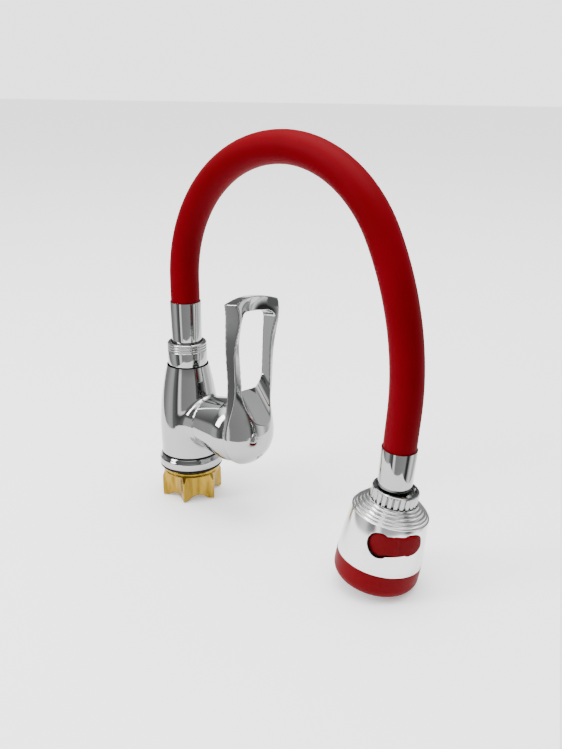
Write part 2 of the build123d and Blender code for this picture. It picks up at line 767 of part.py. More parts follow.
# Nozzle plate, soft nozzle pad, seal and aerator
plate_t = 3.4
head_seal_w = 2.3
aerator_rise = 6.0
aerator_room = 12.0
seal_low_s = plate_low_s - plate_t
core_end_s = seal_low_s - base_seal_t
pad_outer_r = cup_mouth_r - fit_gap
aerator_flange_r = aerator_r + 1.6
plate = ring_down(cup_inner_r - fit_gap, aerator_r + fit_gap, seal_low_s, plate_low_s)
pad = ring_down(pad_outer_r, aerator_flange_r + fit_gap, plate_low_s, cup_end_s - 0.4)
for i in range(nozzle_count):
    nozzle = Rot(0, 0, 360 / nozzle_count * i) * Pos(nozzle_ring_r, 0, 0)
    hole = nozzle * disc(nozzle_r, ball_depth - cup_end_s - 1, ball_depth - seal_low_s + 1)
    plate -= hole
    pad -= hole
keep("nozzle_plate", in_head(plate))
keep("nozzle_pad", in_head(pad))
keep("head_seal", in_head(ring_down(core_foot_r, core_foot_r - head_seal_w, core_end_s, seal_low_s)))

aerator_top_s = core_end_s - aerator_rise
insert_r = aerator_r - 1.4
aerator_outline = [
    (insert_r, aerator_top_s),
    (aerator_r, aerator_top_s),
    (aerator_r, plate_low_s),
    (aerator_flange_r, plate_low_s),
    (aerator_flange_r, cup_end_s),
    (insert_r - 0.8, cup_end_s),
    (insert_r - 0.8, cup_end_s - 1.0),
    (insert_r, cup_end_s - 1.0),
]
keep("aerator_housing", in_head(turned_down(aerator_outline)))
insert = ring_down(insert_r - fit_gap, 0.8, aerator_top_s + 2.0, cup_end_s - 1.0)
insert_cut = Pos(insert_r / 2 + 0.4, 0, ball_depth - plate_low_s) * Box(2.4, 1.6, cup_end_s)
insert -= [Rot(0, 0, 60 * i) * insert_cut for i in range(6)]
keep("aerator_insert", in_head(insert))

# Core: ball seat pocket, water ways, bore for the diverter spool
core_outline = [
    (thread_r, ball_depth),
    (thread_r, core_top_s),
    (core_body_r, core_top_s),
    (core_body_r, core_end_s - core_foot_h),
    (core_foot_r, core_end_s - core_foot_h),
    (core_foot_r, core_end_s),
    (aerator_r + fit_gap, core_end_s),
    (aerator_r + fit_gap, aerator_top_s - aerator_room),
    (0, aerator_top_s - aerator_room),
    (0, seal_end_s + 4.0),
    (14.5, seal_end_s + 4.0),
    (14.5, seal_end_s + 2.0),
    (8.0, seal_end_s + 2.0),
    (8.0, seal_end_s),
    (seal_pocket_r, seal_end_s),
    (seal_pocket_r, ball_depth),
]
manifold = turned_down(core_outline)
chamber_in_r = aerator_r + 2.4
chamber_out_r = core_body_r - 1.4
chamber_top_s = aerator_top_s - 2.0
manifold -= ring_down(chamber_out_r, chamber_in_r, chamber_top_s, core_end_s + 1)
spool_at = core_body_r - spool_inset
plug_out = sqrt(core_body_r**2 - (spool_at + spool_r) ** 2) - 0.4
plug_in = plug_out - plug_length
spool_half = plug_in - spool_end_gap - 0.1
spool_line = Pos(spool_at, 0, 0) * Rot(90, 0, 0)
spool_hole = Pos(spool_at, 0, 0) * Rot(-90, 0, 0) * disc(spool_r + fit_gap, -spool_half - spool_end_gap, core_body_r)
manifold -= window_place * spool_hole
feed_at = 5.4
outlet_at = 8.6
port_way = 1.5
for side in (-1, 1):
    feed = Pos(spool_at, side * feed_at, 0) * disc(port_way, 0, window_s - seal_end_s - 3.0)
    manifold -= window_place * feed
ring_way = Pos(spool_at, -outlet_at, 0) * disc(port_way, window_s - chamber_top_s - 1, 0)
centre_drop = window_s - aerator_top_s + 9.0
centre_way = Pos(spool_at, outlet_at, 0) * disc(port_way, centre_drop, 0)
cross_angle = degrees(atan2(outlet_at, spool_at))
cross_way = Pos(0, 0, centre_drop) * Rot(0, 0, cross_angle) * along_x(disc(port_way, 0, hypot(spool_at, outlet_at)))
manifold -= window_place * (ring_way + centre_way + cross_way)
slot_in = spool_at - 3.0
slot_out = core_body_r + 2.0
manifold -= window_place * Pos((slot_in + slot_out) / 2, 0, 0) * Box(slot_out - slot_in, 6.0, 9.6)
window_share = (window_s - shoulder_s) / (shell_bottom_s - shoulder_s)
rocker_out_r = shoulder_r + (shell_bottom_r - shoulder_r) * window_share + rocker_proud
rocker_back_r = rocker_out_r - rocker_t
rocker_pivot_r = rocker_out_r - rocker_arm
lug_low = window_waist + 0.1
lug_high = lug_low + 1.8
lug_in = core_body_r - 2.0
lug_out = rocker_pivot_r + 1.2
for side in (-1, 1):
    lug = Box(lug_out - lug_in, 4.4, lug_high - lug_low)
    manifold += window_place * Pos((lug_in + lug_out) / 2, 0, side * (lug_low + lug_high) / 2) * lug
pin_hole = Pos(rocker_pivot_r, 0, 0) * Cylinder(rocker_pin_r, 2 * lug_high + 2)
manifold -= window_place * pin_hole
keep("head_core", in_head(manifold))
keep("rocker_pin", in_head(window_place * Pos(rocker_pivot_r, 0, 0) * Cylinder(rocker_pin_r, 2 * lug_high)))

# Diverter spool with its plug, moved along its bore by the rocker's fork
spool_travel = (rocker_pivot_r - spool_at) * sin(radians(rocker_tilt))
spool = Cylinder(spool_r, 2 * spool_half)
for at, width in ((-side_groove_at, side_groove), (0, fork_groove), (side_groove_at, side_groove)):
    spool -= Pos(0, 0, at) * (Cylinder(spool_r + 1, width) - Cylinder(fork_root_r, width))
spool_shift = Pos(0, spool_travel, 0)
keep("diverter_spool", in_head(window_place * spool_shift * spool_line * spool))
plug = Pos(spool_at, 0, 0) * Rot(-90, 0, 0) * disc(spool_r, plug_in, plug_out)
keep("spool_plug", in_head(window_place * plug))

# Rocker: curved red face on a hub, with a fork that reaches the spool
face_inset = 0.4
rocker_face = bow_tie(window_end_r - face_inset, window_half - face_inset, window_waist - face_inset)
rocker = extrude(rocker_face, rocker_out_r + 3, dir=(1, 0, 0)) & ring(rocker_out_r, rocker_back_r, -9, 9)
ridge = Pos(rocker_out_r - 0.6, 0, 0) * Rot(0, 0, 45) * Box(3.2, 3.2, 2 * (window_waist - face_inset))
rocker += ridge
hub_in = core_body_r + 0.6
hub_out = rocker_back_r + 1.0
rocker += Pos((hub_in + hub_out) / 2, 0, 0) * Box(hub_out - hub_in, 5.0, 2 * (window_waist - face_inset))
fork_in = spool_at - 2.0
fork = Pos((fork_in + hub_in + 1.0) / 2, 0, 0) * Box(hub_in + 1.0 - fork_in, fork_t, 7.6)
rocker += fork - Pos(spool_at, 0, 0) * Box(8.0, 8.0, 2 * fork_root_r + 0.3)
rocker -= Pos(rocker_pivot_r, 0, 0) * Cylinder(rocker_pin_r + 0.04, 40)
rocker_rest = Pos(rocker_pivot_r, 0, 0) * Rot(0, 0, -rocker_tilt) * Pos(-rocker_pivot_r, 0, 0)
keep("mode_rocker", in_head(window_place * rocker_rest * rocker))

# Report what was made, and where the moving pieces turn
for name, shape in nodes.items():
    export_step(shape, f"parts/{name}.step")
    print(name, len(shape.solids()), round(shape.volume, 1), shape.is_valid)


def show_frame(name, place):
    origin = place.position
    axes = [place.x_axis.direction, place.y_axis.direction, place.z_axis.direction]
    print(name, [round(v / 1000, 6) for v in origin], [[round(c, 6) for c in a] for a in axes])


turned_place = Pos(0, 0, branch_height) * Rot(-handle_turn, 0, 0) * Pos(pivot_x, 0, 0)
spout_place = Rot(0, 0, spout_turn)
show_frame("handle pivot", turned_place)
show_frame("outlet, at the hose's end", spout_place * Pos(hose_end) * Rot(0, outlet_lean, 0))
show_frame("ball", spout_place * ball_place)
show_frame("head", spout_place * head_place)
show_frame("rocker pivot", spout_place * head_place * window_place * Pos(rocker_pivot_r, 0, 0))
lowest = min(shape.bounding_box().min.Z for shape in nodes.values())
print("head tilt", round(head_tilt, 3), "lowest point", round(lowest, 2), "spool travel", round(2 * spool_travel, 3))
print("stem tail shift", round(tail_shift, 3))
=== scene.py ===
# %% [markdown]
# A kitchen mixer tap stands on a white table: a chromed body, a lever with a
# finger loop, a red hose that holds its bend, and a spray head. The packed
# model comes in first as a fixed frame, and every piece is dressed in place.

import bpy
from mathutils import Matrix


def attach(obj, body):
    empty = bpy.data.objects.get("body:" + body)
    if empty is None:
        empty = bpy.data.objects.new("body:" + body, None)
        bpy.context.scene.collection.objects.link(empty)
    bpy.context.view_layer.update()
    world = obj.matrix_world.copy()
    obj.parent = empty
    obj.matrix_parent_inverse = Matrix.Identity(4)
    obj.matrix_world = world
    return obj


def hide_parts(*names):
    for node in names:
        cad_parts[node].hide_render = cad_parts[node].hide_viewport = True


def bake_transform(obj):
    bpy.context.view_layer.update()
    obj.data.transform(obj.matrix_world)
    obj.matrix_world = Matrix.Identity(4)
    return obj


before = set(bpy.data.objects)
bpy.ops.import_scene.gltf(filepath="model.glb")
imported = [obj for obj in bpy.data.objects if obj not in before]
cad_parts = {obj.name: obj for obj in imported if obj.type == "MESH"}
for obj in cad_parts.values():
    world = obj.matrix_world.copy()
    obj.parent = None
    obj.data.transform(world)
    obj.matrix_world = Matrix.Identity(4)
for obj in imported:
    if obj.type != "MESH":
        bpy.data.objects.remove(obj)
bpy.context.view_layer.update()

import bpy
import math
import numpy as np
from mathutils import Matrix, Vector

MM = 0.001

# %% [markdown]
# The camera comes next, because the whole picture is judged through it. Its
# place and lens were worked out from the ellipses of the round parts: it looks
# down by about nineteen degrees, from some sixty centimetres away.

# %% Camera
CAMERA_PLACE = (0.4387, -0.4431, 0.2919)
CAMERA_HEADING = 38.0
CAMERA_PITCH = 19.36
LENS = 40.1

camera_data = bpy.data.cameras.new("camera")
camera_data.lens = LENS
camera_data.sensor_width = 36.0
camera_data.sensor_fit = "AUTO"
camera = bpy.data.objects.new("camera", camera_data)
bpy.context.scene.collection.objects.link(camera)
camera.location = CAMERA_PLACE
camera.rotation_euler = (math.radians(90 - CAMERA_PITCH), 0, math.radians(CAMERA_HEADING))
bpy.context.scene.camera = camera
print("camera at", CAMERA_PLACE)

# %% [markdown]
# A finish is a small network of nodes. One function adds a node, sets its
# settings and feeds its sockets, with numbers or with what other nodes give.


# %% Adding a node
def feed(tree, socket, value):
    """Links a value that comes from a node, and sets any other."""
    source = getattr(value, "socket", value)
    if isinstance(source, bpy.types.NodeSocket):
        tree.links.new(source, socket)
    else:
        socket.default_value = source


def add_node(tree, kind, settings=None, inputs=None):
    """Adds a node: its settings are set first, then its sockets."""
    made = tree.nodes.new(kind)
    for name, value in (settings or {}).items():
        if name == "stops":
            ramp = made.color_ramp
            while len(ramp.elements) < len(value):
                ramp.elements.new(0.5)
            for element, (at, colour) in zip(ramp.elements, value):
                element.position = at
                element.color = colour
        else:
            setattr(made, name, value)
    for key, value in (inputs or {}).items():
        feed(tree, made.inputs[key], value)
    return made


def shade(value):
    """A grey of this brightness."""
    return (value, value, value, 1.0)


# %% [markdown]
# Written as a sum a finish reads like a sum, so one class wraps a socket and
# lets Python's own operators add the Math nodes.


# %% A socket that can be added and multiplied
class Amount:
    """A number that changes over a surface."""

    def __init__(self, finish, socket):
        self.finish = finish
        self.socket = socket

    def _after(self, number, operation):
        inputs = {0: number, 1: self}
        return self.finish.node("ShaderNodeMath", {"operation": operation}, inputs)["Value"]

    def __radd__(self, number):
        return self._after(number, "ADD")

    def __rmul__(self, number):
        return self._after(number, "MULTIPLY")


# %% A finish, whose nodes are added by name, settings and inputs
class Finish:
    """A material with one shader, and with textures in the object's own coordinates."""

    def __init__(self, name, metallic=0.0, roughness=0.4, coat=0.0, specular=0.5):
        self.material = bpy.data.materials.new(name)
        self.material.use_nodes = True
        self.tree = self.material.node_tree
        self.shader = self.tree.nodes["Principled BSDF"]
        self.shader.inputs["Metallic"].default_value = metallic
        self.shader.inputs["Roughness"].default_value = roughness
        self.shader.inputs["Coat Weight"].default_value = coat
        self.shader.inputs["Specular IOR Level"].default_value = specular
        self.place = self.node("ShaderNodeTexCoord")["Object"]

    def node(self, kind, settings=None, inputs=None):
        made = add_node(self.tree, kind, settings, inputs)
        return {out.name: Amount(self, out) for out in made.outputs if out.enabled}

    def set(self, **values):
        for key, value in values.items():
            feed(self.tree, self.shader.inputs[key.replace("_", " ")], value)

    def noise(self, scale, detail, place=None):
        inputs = {"Vector": place or self.place, "Scale": scale, "Detail": detail}
        return self.node("ShaderNodeTexNoise", None, inputs)["Fac"]

    def stretched(self, across, along):
        """Object coordinates squeezed so that marks run along Z."""
        inputs = {"Vector": self.place, "Scale": (across, across, along)}
        return self.node("ShaderNodeMapping", None, inputs)["Vector"]

    def colours(self, amount, *stops):
        return self.node("ShaderNodeValToRGB", {"stops": stops}, {"Fac": amount})["Color"]

    def bump(self, height, distance, strength):
        inputs = {"Height": height, "Distance": distance, "Strength": strength}
        return self.node("ShaderNodeBump", None, inputs)["Normal"]


# %% [markdown]
# Chrome plate is nearly a mirror, so most of its look is what it reflects.
# What it adds itself is a slight unevenness from hand polishing, and faint
# smears that make the gloss a little softer in places. Its tone is painted
# light and shade: the body's chrome is darker than real chrome, as painted
# shade, and the shell's is twice as bright, as painted light.


# %% Chrome finishes
SMEAR_SCALE = 60.0
SMEAR_TONE = 0.92
POLISH_DEPTH = 0.00012


def chrome_finish(name, tone, least_rough, smear, wave):
    finish = Finish(name, metallic=1.0, roughness=0.08)
    smears = finish.noise(SMEAR_SCALE, 3.0)
    polish = finish.noise(wave, 1.0)
    smeared = tuple(SMEAR_TONE * c for c in tone)
    finish.set(
        Base_Color=finish.colours(smears, (0.2, smeared), (0.8, tone)),
        Roughness=least_rough + smear * smears,
        Normal=finish.bump(polish, POLISH_DEPTH, 0.35),
    )
    return finish.material


# Darker than real chrome: painted shade that stands for darker reflections.
chrome = chrome_finish(
    "polished_chrome_painted_dark", tone=(0.36, 0.37, 0.363, 1), least_rough=0.035, smear=0.06, wave=55.0
)
# Twice as bright as the body's chrome: painted light that stands for the shell's brighter
# reflections.
painted_bright_chrome = chrome_finish(
    "plated_plastic_painted_bright", tone=(0.74, 0.75, 0.74, 1), least_rough=0.12, smear=0.10, wave=35.0
)
print("made", chrome.name, painted_bright_chrome.name)

# %% [markdown]
# The hose and the plastic trim share one deep red, but silicone scatters light
# more softly than moulded plastic, and picks up a bloom of fine dust.


# %% Red silicone and red plastic
def red_finish(name, deep, bright, rough, grain, depth, coat):
    finish = Finish(name, roughness=rough, coat=coat, specular=0.03)
    clouds = finish.noise(30.0, 3.0)
    fine = finish.noise(grain, 2.0)
    finish.set(
        Base_Color=finish.colours(clouds, (0.3, deep), (0.75, bright)),
        Roughness=rough - 0.05 + 0.1 * clouds,
        Normal=finish.bump(fine, depth, 0.5),
    )
    return finish.material


red_silicone = red_finish(
    "red_silicone", deep=(0.130, 0.0, 0.003, 1), bright=(0.155, 0.0, 0.005, 1),
    rough=0.55, grain=1400.0, depth=0.00003, coat=0.0,
)
red_plastic = red_finish(
    "red_plastic", deep=(0.105, 0.0, 0.002, 1), bright=(0.128, 0.0, 0.003, 1),
    rough=0.42, grain=900.0, depth=0.00002, coat=0.03,
)
print("made", red_silicone.name, red_plastic.name)

# %% [markdown]
# Cast brass that nobody has polished is dull gold, streaked from the mould and
# darker where it is tarnished. The shank's thread is a bump of fine bands.


# %% Brass
THREAD_PITCH = 0.0015
BAND_AT_SCALE_ONE = 0.314
BRASS_DARK = (0.20, 0.112, 0.010, 1)
BRASS_PALE = (0.40, 0.26, 0.040, 1)


def brass_finish(name, threaded):
    finish = Finish(name, metallic=1.0, roughness=0.3)
    tarnish = finish.noise(260.0, 4.0, finish.stretched(1.0, 0.22))
    grain = finish.noise(900.0, 3.0)
    if threaded:
        settings = {"wave_type": "BANDS", "bands_direction": "Z"}
        scale = BAND_AT_SCALE_ONE / THREAD_PITCH
        inputs = {"Vector": finish.place, "Scale": scale, "Distortion": 0.0}
        height, depth = finish.node("ShaderNodeTexWave", settings, inputs)["Fac"], 0.0004
    else:
        height, depth = 0.2 * grain, 0.00008
    finish.set(
        Base_Color=finish.colours(tarnish, (0.3, BRASS_DARK), (0.7, BRASS_PALE)),
        Roughness=0.16 + 0.16 * tarnish,
        Normal=finish.bump(height, depth, 0.8),
    )
    return finish.material


brass = brass_finish("cast_brass", threaded=False)
threaded_brass = brass_finish("threaded_brass", threaded=True)


# %% Rubber, plastics, steel and ceramic
def plain_finish(name, tones, rough, grain, depth, metallic=0.0, specular=0.5):
    """A grey finish that varies between two tones, with a fine grain."""
    finish = Finish(name, metallic=metallic, roughness=rough, specular=specular)
    mottle = finish.noise(120.0, 3.0)
    fine = finish.noise(grain, 2.0)
    dark, light = (shade(tone) for tone in tones)
    finish.set(
        Base_Color=finish.colours(mottle, (0.3, dark), (0.7, light)),
        Roughness=rough - 0.06 + 0.12 * mottle,
        Normal=finish.bump(fine, depth, 0.5),
    )
    return finish.material


black_rubber = plain_finish("black_rubber", (0.003, 0.006), 0.6, 1200.0, 0.00003, specular=0.1)
white_plastic = plain_finish("white_acetal", (0.70, 0.78), 0.4, 1000.0, 0.00002)
grey_plastic = plain_finish("grey_moulding", (0.10, 0.14), 0.42, 1000.0, 0.00002)
grey_silicone = plain_finish("grey_silicone", (0.22, 0.28), 0.55, 1200.0, 0.00003)
steel = plain_finish("stainless_steel", (0.50, 0.62), 0.28, 1500.0, 0.00002, metallic=1.0)
ceramic = plain_finish("lapped_ceramic", (0.78, 0.84), 0.2, 1500.0, 0.00001)
print("made", len(bpy.data.materials), "finishes")

# %% [markdown]
# Every CAD node keeps its place and shape, and gets the finish of the real
# piece, also where it is hidden, because the part is taken apart later on.

# %% Finishes for the CAD nodes
NODE_FINISH = {
    "base_ring": chrome,
    "body_casting": chrome,
    "cartridge_bonnet": chrome,
    "handle": chrome,
    "spout_collar": chrome,
    "inlet_ferrule": chrome,
    "outlet_ferrule": chrome,
    "union_nut": chrome,
    "head_shell": painted_bright_chrome,
    "star_nut": brass,
    "threaded_shank": threaded_brass,
    "cartridge_nut": brass,
    "swivel_tail": brass,
    "ball_nipple": brass,
    "spool_plug": brass,
    "diverter_spool": brass,
    "clamp_washer": steel,
    "lever_pin": steel,
    "stem_lever": steel,
    "handle_grub_screw": steel,
    "rocker_pin": steel,
    "flex_core": steel,
    "deck_gasket": black_rubber,
    "base_seal": black_rubber,
    "cartridge_seals": black_rubber,
    "tail_orings": black_rubber,
    "ball_seal": black_rubber,
    "head_seal": black_rubber,
    "fixed_ceramic_disc": ceramic,
    "moving_ceramic_disc": ceramic,
    "cartridge_housing": white_plastic,
    "disc_carrier": white_plastic,
    "stem_guide": white_plastic,
    "slip_ring": white_plastic,
    "ball_seat": white_plastic,
    "aerator_insert": white_plastic,
    "cartridge_base": grey_plastic,
    "head_core": grey_plastic,
    "nozzle_plate": grey_plastic,
    "aerator_housing": grey_plastic,
    "nozzle_pad": grey_silicone,
    "spout_sleeve": red_silicone,
    "spray_cup": red_plastic,
    "mode_rocker": red_plastic,
}
for node_name, material in NODE_FINISH.items():
    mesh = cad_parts[node_name].data
    mesh.materials.clear()
    mesh.materials.append(material)
print("finished", len(NODE_FINISH), "of", len(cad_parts), "nodes")

# %% [markdown]
# Round pieces are spun on a lathe: an outline of radii and heights, turned
# about an axis. Many more steps go round than the frame has, because polished
# metal shows every flat. Corners are cut into small bends where light catches.


# %% Helpers that make a mesh object
SHARP_ANGLE = 32.0


def new_piece(name, points, faces, material, body, place=None):
    mesh = bpy.data.meshes.new(name)
    mesh.from_pydata([tuple(p) for p in points], [], faces)
    mesh.materials.append(material)
    piece = bpy.data.objects.new(name, mesh)
    bpy.context.scene.collection.objects.link(piece)
    if place is not None:
        mesh.transform(place)
    mesh.update()
    if body:
        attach(piece, body)
    return piece


def smooth(piece, angle=SHARP_ANGLE):
    mesh = piece.data
    mesh.shade_smooth()
    mesh.set_sharp_from_angle(angle=math.radians(angle))
    return piece


# %% The lathe
LARGEST_CUT_SHARE = 0.4


def softened(outline, round_mm):
    """The outline with each corner cut into a small three-point bend."""
    count = len(outline)
    points = []
    for i in range(count):
        here = np.array(outline[i], float)
        before = np.array(outline[i - 1], float)
        after = np.array(outline[(i + 1) % count], float)
        to_before = before - here
        to_after = after - here
        room = min(np.linalg.norm(to_before), np.linalg.norm(to_after)) * LARGEST_CUT_SHARE
        cut = min(round_mm, room)
        start = here + to_before / np.linalg.norm(to_before) * cut
        end = here + to_after / np.linalg.norm(to_after) * cut
        middle = 0.25 * start + 0.5 * here + 0.25 * end
        points += [start, middle, end]
    return points


def on_circle(radius, turn, height):
    """A point in metres, from a radius and height in millimetres and a turn about Z."""
    return (radius * math.cos(turn) * MM, radius * math.sin(turn) * MM, height * MM)


def lathe(name, outline, material, body, place, steps=144, round_mm=0.0, radius_at=None):
    """Turn a closed outline of (radius, height) in millimetres about Z."""
    points = softened(outline, round_mm) if round_mm else outline
    count = len(points)
    verts = []
    for step in range(steps):
        turn = 2 * math.pi * step / steps
        for radius, height in points:
            if radius_at:
                radius = radius_at(radius, height, turn)
            verts.append(on_circle(radius, turn, height))
    faces = []
    for step in range(steps):
        here, there = step * count, (step + 1) % steps * count
        for i in range(count):
            j = (i + 1) % count
            faces.append((here + i, there + i, there + j, here + j))
    return smooth(new_piece(name, verts, faces, material, body, place))


UPRIGHT = Matrix.Identity(4)
BRANCH_HEIGHT = 40.5
QUARTER_TURN = Matrix.Rotation(math.radians(90), 4, "Y")
ALONG_BRANCH = Matrix.Translation((0, 0, BRANCH_HEIGHT * MM)) @ QUARTER_TURN

# %% [markdown]
# The base is a stack: black gasket, chrome ring, black seal, and the nut below.
# The ring is the one bright line at the foot, so its edges are rounded a little
# to catch the light. The seal stays as the frame gives it.

# %% Base ring and gasket
ring_outline = [(20, 2), (25.1, 2), (25.1, 7.2), (24.4, 8.2), (23.4, 10.5), (20, 10.5)]
base_ring = lathe("base_ring_polished", ring_outline, chrome, "body", UPRIGHT, round_mm=0.5)
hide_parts("base_ring")
gasket_outline = [(16.8, 0), (24.9, 0), (24.9, 2), (16.8, 2)]
gasket = lathe("deck_gasket_soft", gasket_outline, black_rubber, "body", UPRIGHT, round_mm=0.4)
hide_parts("deck_gasket")
print("base pieces", base_ring.name, gasket.name)

# %% [markdown]
# The cast body is a tapered column that runs into a short side branch. Where
# two round forms meet in a casting there is a small fillet. Each height of the
# body is a ring of points pushed out until a smooth blend of both forms ends.

# %% The column's side
COLUMN_FOOT = 12.1
COLUMN_TOP = 84.0
COLUMN_BEND = 26.0
FOOT_RADIUS = 22.9
FOOT_FLARE = 0.3
COLUMN_SIDE = ((23.2, COLUMN_BEND), (20.1, 66.0), (16.2, COLUMN_TOP))


def circle_through(a, b, c):
    """Centre and radius of the circle through three (radius, height) points."""
    rows = np.array([[b[0] - a[0], b[1] - a[1]], [c[0] - a[0], c[1] - a[1]]], float)
    sums = np.array([b[0] ** 2 + b[1] ** 2, c[0] ** 2 + c[1] ** 2]) - (a[0] ** 2 + a[1] ** 2)
    centre = np.linalg.solve(rows, sums / 2)
    return centre, math.hypot(a[0] - centre[0], a[1] - centre[1])


side_centre, side_radius = circle_through(*COLUMN_SIDE)


def column_radius(z):
    """A short flare up from the foot, and one long curve above it."""
    if z < COLUMN_BEND:
        return FOOT_RADIUS + FOOT_FLARE * (z - COLUMN_FOOT) / (COLUMN_BEND - COLUMN_FOOT)
    return side_centre[0] + math.sqrt(side_radius**2 - (z - side_centre[1]) ** 2)


print("column radii", [round(column_radius(z), 2) for z in (12.1, 26, 45, 66, 84)])

# %% Where the blend of column and branch ends
BRANCH_RADIUS = 20.5
BRANCH_END = 23.2
END_GAP = 0.15
FILLET = 2.2
SKIN = 0.06
SEARCH_REACH = 60.0
HALVINGS = 24
WALL = 1.5


def outside(radius, turn, z):
    """Above zero outside the blend of column and branch, in millimetres."""
    column = radius - column_radius(z)
    x, y = radius * math.cos(turn), radius * math.sin(turn)
    branch = math.hypot(y, z - BRANCH_HEIGHT) - BRANCH_RADIUS
    branch = max(branch, -x)
    mix = max(FILLET - abs(column - branch), 0) / FILLET
    return min(column, branch) - mix * mix * FILLET / 4


def skin_radius(turn, z):
    """How far out the blend reaches, found by halving, and no further than the branch."""
    low, high = 0.0, SEARCH_REACH
    for _ in range(HALVINGS):
        middle = (low + high) / 2
        if outside(middle, turn, z) < 0:
            low = middle
        else:
            high = middle
    towards_branch = math.cos(turn)
    if towards_branch > 0.3:
        reach = (BRANCH_END - END_GAP) / towards_branch
        low = min(low, reach)
        if reach < column_radius(z):
            low = column_radius(z)
    return low + SKIN


# %% Body skin with its fillet
SKIN_TURNS = 220
SKIN_HEIGHTS = 150
body_turns = [2 * math.pi * i / SKIN_TURNS for i in range(SKIN_TURNS)]
body_heights = np.linspace(COLUMN_FOOT, COLUMN_TOP, SKIN_HEIGHTS)
skin_points = []
for z in body_heights:
    skin_points += [on_circle(skin_radius(turn, z), turn, z) for turn in body_turns]
for z in (COLUMN_TOP, COLUMN_FOOT):
    skin_points += [on_circle(column_radius(z) - WALL, turn, z) for turn in body_turns]
ring_starts = [k * SKIN_TURNS for k in range(SKIN_HEIGHTS + 2)]
skin_faces = []
for lower, upper in zip(ring_starts, ring_starts[1:] + ring_starts[:1]):
    for i in range(SKIN_TURNS):
        j = (i + 1) % SKIN_TURNS
        skin_faces.append((lower + i, lower + j, upper + j, upper + i))
body_skin = smooth(new_piece("body_skin", skin_points, skin_faces, chrome, "body"), 40.0)
print("body skin", len(skin_points), "points")

# %% [markdown]
# The bonnet is a chrome sleeve that swells into a ball round the lever's pivot,
# so that the handle can swing over it with an even gap.

# %% Bonnet over the cartridge
PIVOT_X = 48.0
BALL_RADIUS = 24.6
BALL_INSIDE = 23.1


def ball_point(radius, degrees):
    angle = math.radians(degrees)
    return (radius * math.sin(angle), PIVOT_X + radius * math.cos(angle))


bonnet_outline = [(20.5, 23.25), *[ball_point(BALL_RADIUS, a) for a in range(100, 39, -3)]]
bonnet_outline += [(14.5, 66.9), (14.5, 66.0)]
bonnet_outline += [ball_point(BALL_INSIDE, a) for a in range(42, 91, 6)]
bonnet_outline += [(19.25, 46.0), (19.25, 23.25)]
bonnet = lathe("bonnet_polished", bonnet_outline, chrome, "body", ALONG_BRANCH, steps=180)
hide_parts("cartridge_bonnet")

# %% [markdown]
# The handle is a polished casting with soft edges all over. The frame's handle
# has crisp ones, so a copy is rebuilt from small cubes of its volume and then
# relaxed, which rounds every edge by about a millimetre, as polishing does.


# %% A copy of a CAD node with softened edges
def final_mesh(piece):
    """The piece gets the mesh that its modifiers make, and loses them."""
    bpy.context.view_layer.update()
    evaluated = piece.evaluated_get(bpy.context.evaluated_depsgraph_get())
    final = bpy.data.meshes.new_from_object(evaluated)
    piece.modifiers.clear()
    piece.data = final
    return final


def relaxed_copy(node, name, material, body, voxel, rounds):
    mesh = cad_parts[node].data.copy()
    mesh.name = name
    piece = bpy.data.objects.new(name, mesh)
    bpy.context.scene.collection.objects.link(piece)
    remesh = piece.modifiers.new("cubes", "REMESH")
    remesh.mode = "VOXEL"
    remesh.voxel_size = voxel * MM
    relaxed = piece.modifiers.new("relax", "SMOOTH")
    relaxed.factor = 0.5
    relaxed.iterations = rounds
    final = final_mesh(piece)
    final.materials.clear()
    final.materials.append(material)
    final.shade_smooth()
    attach(piece, body)
    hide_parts(node)
    print(name, len(final.vertices), "points")
    return piece


handle = relaxed_copy("handle", "handle_polished", chrome, "lever", voxel=0.45, rounds=10)
star_nut = relaxed_copy("star_nut", "star_nut_cast", brass, "nut", voxel=0.45, rounds=5)

# %% [markdown]
# Above the body a screwed collar holds the spout. Its fine ridges give fingers
# a grip, and the chromed ferrule rises out of it with a dark gap all round.

# %% Collar and inlet ferrule
collar_outline = [(13.25, 84.4), (15.2, 84.4), (15.2, 95.4)]
for low in (96.3, 98.3, 100.3):
    collar_outline += [(14.6, low - 0.4), (14.6, low), (15.2, low + 0.4), (15.2, low + 1.2)]
collar_outline += [(14.4, 102.3), (12.2, 102.3), (12.2, 96.6), (13.25, 96.6)]
collar = lathe("spout_collar_polished", collar_outline, chrome, "body", UPRIGHT, round_mm=0.25)
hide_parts("spout_collar")
ferrule_outline = [
    (9.45, 95), (11.5, 95), (11.8, 134), (11.3, 134.0), (11.05, 133.4), (11.05, 126),
    (8.15, 126), (8.15, 118), (5, 118), (5, 112), (9.45, 112),
]
inlet_ferrule = lathe(
    "inlet_ferrule_polished", ferrule_outline, chrome, "spout_lower", UPRIGHT, round_mm=0.15
)
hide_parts("inlet_ferrule")

# %% [markdown]
# The hose holds whatever bend it is given. Its centre line is a straight run,
# three bends of different radius and a straight run. A ring of points is carried
# along it.

# %% Centre line of the hose
SPOUT_TURN = math.radians(-3.7)
HOSE_START = 134.0
FIRST_RUN = 16.5
LAST_RUN = 23.0
BENDS = ((102.0, 89.0), (87.5, 64.0), (204.0, 32.0))
STATION_SPACING = 2.5


def hose_line(tuck):
    """Stations of (reach, height, heading) along the hose, in millimetres."""
    reach, height, heading = 0.0, HOSE_START - tuck, math.pi / 2
    stations = [(reach, height, heading)]

    def advance(length, bend_radius=None):
        nonlocal reach, height, heading
        steps = max(2, round(length / STATION_SPACING))
        for _ in range(steps):
            turn = length / steps / bend_radius if bend_radius else 0.0
            heading -= turn / 2
            chord = 2 * bend_radius * math.sin(turn / 2) if bend_radius else length / steps
            reach += chord * math.cos(heading)
            height += chord * math.sin(heading)
            heading -= turn / 2
            stations.append((reach, height, heading))

    advance(FIRST_RUN + tuck)
    for bend_radius, bend_angle in BENDS:
        advance(math.radians(bend_angle) * bend_radius, bend_radius)
    advance(LAST_RUN + tuck)
    return stations


print("hose ends at", [round(v, 2) for v in hose_line(0)[-1]])


